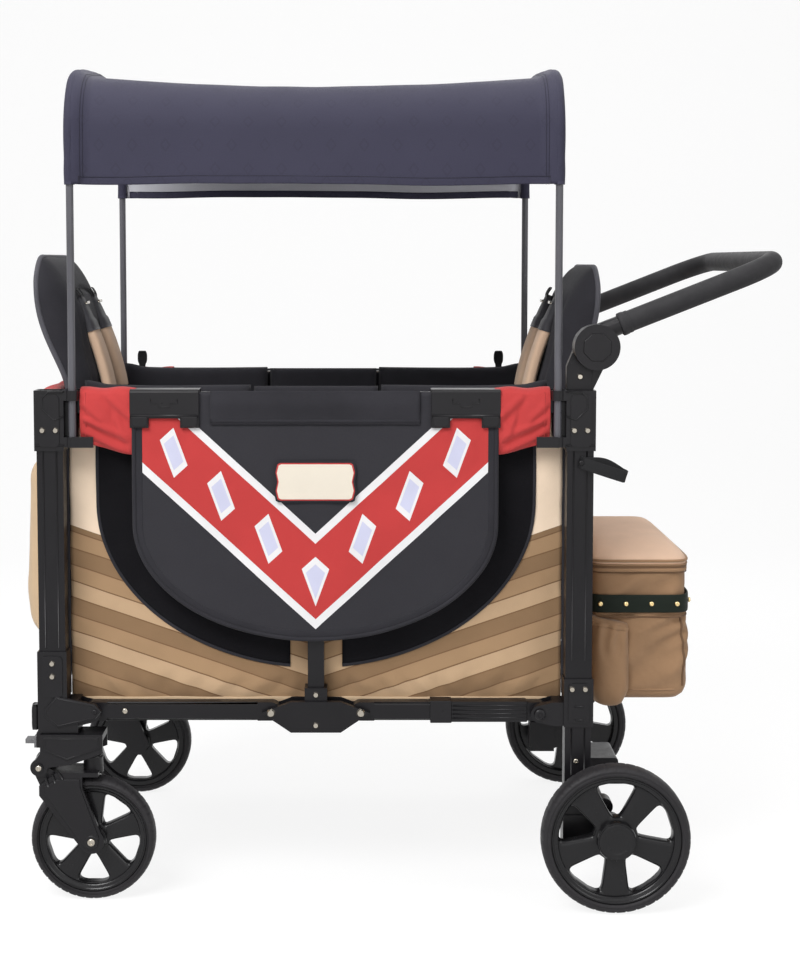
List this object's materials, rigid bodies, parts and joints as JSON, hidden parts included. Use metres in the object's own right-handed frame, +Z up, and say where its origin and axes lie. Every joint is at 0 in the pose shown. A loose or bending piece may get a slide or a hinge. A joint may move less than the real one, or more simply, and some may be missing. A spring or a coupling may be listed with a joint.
{
  "type": "stroller wagon",
  "caption": "Folding four-wheeled wagon for children with two facing seats, an arched canopy on poles, a push handle, swivel front casters and a rear bag.",
  "frame": {"origin": "middle of the footprint's bounding box, on the ground", "axes": "+X towards the push handle (rear), -Y the wagon's left side, +Z up"},
  "size_m": [1.2369, 0.712, 1.3484],
  "materials": {
    "frame_metal": "satin powder coat",
    "axle_steel": "plain",
    "bolt_steel": "plated",
    "spring_steel": "bright",
    "black_plastic": "fine grain",
    "grey_plastic": "fine grain",
    "tyre_rubber": "matt",
    "grip_foam": "matt foam",
    "canopy_cloth": "coated weave",
    "beige_cloth": "plain weave",
    "black_cloth": "plain weave",
    "bag_cloth": "coated weave",
    "board": "fabric-covered board"
  },
  "bodies": {
    "rear_frame": {"rear_frame_tubes": "frame_metal", "rear_brackets": "black_plastic", "axle_carriers": "black_plastic", "rear_axle": "axle_steel", "rear_end_panel": "black_cloth", "rear_seat_back": "black_cloth", "rear_harness": "beige_cloth", "rear_bolts": "bolt_steel", "rear_bag": "bag_cloth", "side_panels": "beige_cloth", "wrist_strap": "black_cloth", "handle_sockets": "black_plastic"},
    "rear_rails": {"lower_rear_rails": "frame_metal", "rear_rail_sleeves": "black_plastic", "rear_floor_board": "board"},
    "centre": {"centre_frame": "frame_metal", "centre_bolts": "bolt_steel", "fold_strap": "black_cloth", "door_flaps": "black_cloth"},
    "front_rails": {"lower_front_rails": "frame_metal", "front_floor_board": "board"},
    "front_frame": {"front_frame_tubes": "frame_metal", "front_brackets": "black_plastic", "front_end_panel": "black_cloth", "front_seat_back": "black_cloth", "front_harness": "beige_cloth", "front_bolts": "bolt_steel"},
    "upper_rear": {"upper_rear_rails": "frame_metal", "rear_rail_clips": "black_plastic"},
    "upper_front": {"upper_front_rails": "frame_metal", "front_rail_clips": "black_plastic"},
    "rear_seat": {"rear_seat_base": "black_cloth"},
    "front_seat": {"front_seat_base": "black_cloth"},
    "caster_left": {"caster_yoke_left": "black_plastic", "front_spring_left": "spring_steel"},
    "caster_right": {"caster_yoke_right": "black_plastic", "front_spring_right": "spring_steel"},
    "fork_left": {"fork_left": "black_plastic"},
    "fork_right": {"fork_right": "black_plastic"},
    "front_wheel_left": {"front_tyre_left": "tyre_rubber", "front_rim_left": "black_plastic"},
    "front_wheel_right": {"front_tyre_right": "tyre_rubber", "front_rim_right": "black_plastic"},
    "lock_left": {"swivel_lock_left": "grey_plastic"},
    "lock_right": {"swivel_lock_right": "grey_plastic"},
    "handle": {"handle_hubs": "black_plastic", "handle_bar": "frame_metal", "handle_grip": "grip_foam"},
    "button_left": {"handle_button_left": "black_plastic"},
    "button_right": {"handle_button_right": "black_plastic"},
    "rear_wheel_left": {"rear_tyre_left": "tyre_rubber", "rear_rim_left": "black_plastic"},
    "rear_wheel_right": {"rear_tyre_right": "tyre_rubber", "rear_rim_right": "black_plastic"},
    "brake": {"brake_pedal": "black_plastic"},
    "rear_canopy": {"rear_canopy_hoop": "frame_metal", "canopy_fabric": "canopy_cloth"},
    "front_canopy": {"front_canopy_hoop": "frame_metal"},
    "bag_lid": {"bag_lid": "bag_cloth"}
  },
  "joints": [
    {"name": "fold", "type": "hinge", "parent": "rear_frame", "child": "rear_rails", "pos_m": [0.22854, 0, 0.304], "axis": [0, 1, 0], "range_deg": [0, 78], "deforming": ["side_panels", "door_flaps", "canopy_fabric"]},
    {"name": "centre_pivot", "type": "hinge", "parent": "rear_rails", "child": "centre", "pos_m": [-0.05846, 0, 0.304], "axis": [0, 1, 0], "range_deg": [-78, 0]},
    {"name": "front_rail_pivot", "type": "hinge", "parent": "centre", "child": "front_rails", "pos_m": [-0.20245, 0, 0.304], "axis": [0, 1, 0], "range_deg": [-78, 0]},
    {"name": "front_frame_pivot", "type": "hinge", "parent": "front_rails", "child": "front_frame", "pos_m": [-0.48945, 0, 0.304], "axis": [0, 1, 0], "range_deg": [0, 78]},
    {"name": "upper_rear_pivot", "type": "hinge", "parent": "rear_frame", "child": "upper_rear", "pos_m": [0.22854, 0, 0.805], "axis": [0, 1, 0], "range_deg": [0, 78]},
    {"name": "upper_front_pivot", "type": "hinge", "parent": "front_frame", "child": "upper_front", "pos_m": [-0.48945, 0, 0.805], "axis": [0, 1, 0], "range_deg": [-78, 0]},
    {"name": "rear_seat_hinge", "type": "hinge", "parent": "rear_frame", "child": "rear_seat", "pos_m": [0.23555, 0, 0.462], "axis": [0, 1, 0], "range_deg": [0, 78]},
    {"name": "front_seat_hinge", "type": "hinge", "parent": "front_frame", "child": "front_seat", "pos_m": [-0.49645, 0, 0.462], "axis": [0, 1, 0], "range_deg": [-78, 0]},
    {"name": "canopy_height", "type": "slide", "parent": "rear_frame", "child": "rear_canopy", "axis": [0, 0, 1], "range_m": [-0.24, 0]},
    {"name": "front_canopy_height", "type": "slide", "parent": "front_frame", "child": "front_canopy", "axis": [0, 0, 1], "range_m": [-0.24, 0]},
    {"name": "handle_angle", "type": "hinge", "parent": "rear_frame", "child": "handle", "pos_m": [0.31255, 0, 0.893], "axis": [0, 1, 0], "range_deg": [-40, 94]},
    {"name": "brake", "type": "hinge", "parent": "rear_frame", "child": "brake", "pos_m": [0.33254, 0, 0.154], "axis": [0, 1, 0], "range_deg": [0, 16]},
    {"name": "bag_lid", "type": "hinge", "parent": "rear_frame", "child": "bag_lid", "pos_m": [0.31594, 0, 0.5424], "axis": [0, -1, 0], "range_deg": [0, 90]},
    {"name": "rear_wheel_left", "type": "hinge", "parent": "rear_frame", "child": "rear_wheel_left", "pos_m": [0.34454, -0.33, 0.118], "axis": [0, 1, 0], "continuous": true},
    {"name": "swivel_left", "type": "hinge", "parent": "front_frame", "child": "caster_left", "pos_m": [-0.52046, -0.271, 0.25], "axis": [0, 0, 1], "continuous": true},
    {"name": "suspension_left", "type": "hinge", "parent": "caster_left", "child": "fork_left", "pos_m": [-0.57246, -0.271, 0.22], "axis": [0, -1, 0], "range_deg": [0, 5], "stiffness_Nm_per_rad": 150, "springref_deg": -6.88, "deforming": ["front_spring_left"]},
    {"name": "front_wheel_left", "type": "hinge", "parent": "fork_left", "child": "front_wheel_left", "pos_m": [-0.48945, -0.271, 0.1], "axis": [0, 1, 0], "continuous": true},
    {"name": "swivel_lock_left", "type": "slide", "parent": "caster_left", "child": "lock_left", "axis": [0, 0, 1], "range_m": [0, 0.004]},
    {"name": "handle_button_left", "type": "slide", "parent": "handle", "child": "button_left", "axis": [0, 1, 0], "range_m": [0, 0.003], "stiffness_N_per_m": 600, "springref_m": -0.002},
    {"name": "rear_wheel_right", "type": "hinge", "parent": "rear_frame", "child": "rear_wheel_right", "pos_m": [0.34454, 0.33, 0.118], "axis": [0, 1, 0], "continuous": true},
    {"name": "swivel_right", "type": "hinge", "parent": "front_frame", "child": "caster_right", "pos_m": [-0.52046, 0.271, 0.25], "axis": [0, 0, 1], "continuous": true},
    {"name": "suspension_right", "type": "hinge", "parent": "caster_right", "child": "fork_right", "pos_m": [-0.57246, 0.271, 0.22], "axis": [0, -1, 0], "range_deg": [0, 5], "stiffness_Nm_per_rad": 150, "springref_deg": -6.88, "deforming": ["front_spring_right"]},
    {"name": "front_wheel_right", "type": "hinge", "parent": "fork_right", "child": "front_wheel_right", "pos_m": [-0.48945, 0.271, 0.1], "axis": [0, 1, 0], "continuous": true},
    {"name": "swivel_lock_right", "type": "slide", "parent": "caster_right", "child": "lock_right", "axis": [0, 0, 1], "range_m": [0, 0.004]},
    {"name": "handle_button_right", "type": "slide", "parent": "handle", "child": "button_right", "axis": [0, -1, 0], "range_m": [0, 0.003], "stiffness_N_per_m": 600, "springref_m": -0.002}
  ],
  "couplings": [
    {"joint": "centre_pivot", "follows": "fold", "ratio": -1},
    {"joint": "front_rail_pivot", "follows": "fold", "ratio": -1},
    {"joint": "front_frame_pivot", "follows": "fold", "ratio": 1},
    {"joint": "upper_rear_pivot", "follows": "fold", "ratio": 1},
    {"joint": "upper_front_pivot", "follows": "fold", "ratio": -1},
    {"joint": "rear_seat_hinge", "follows": "fold", "ratio": 1},
    {"joint": "front_seat_hinge", "follows": "fold", "ratio": -1},
    {"joint": "front_canopy_height", "follows": "canopy_height", "ratio": 1}
  ]
}
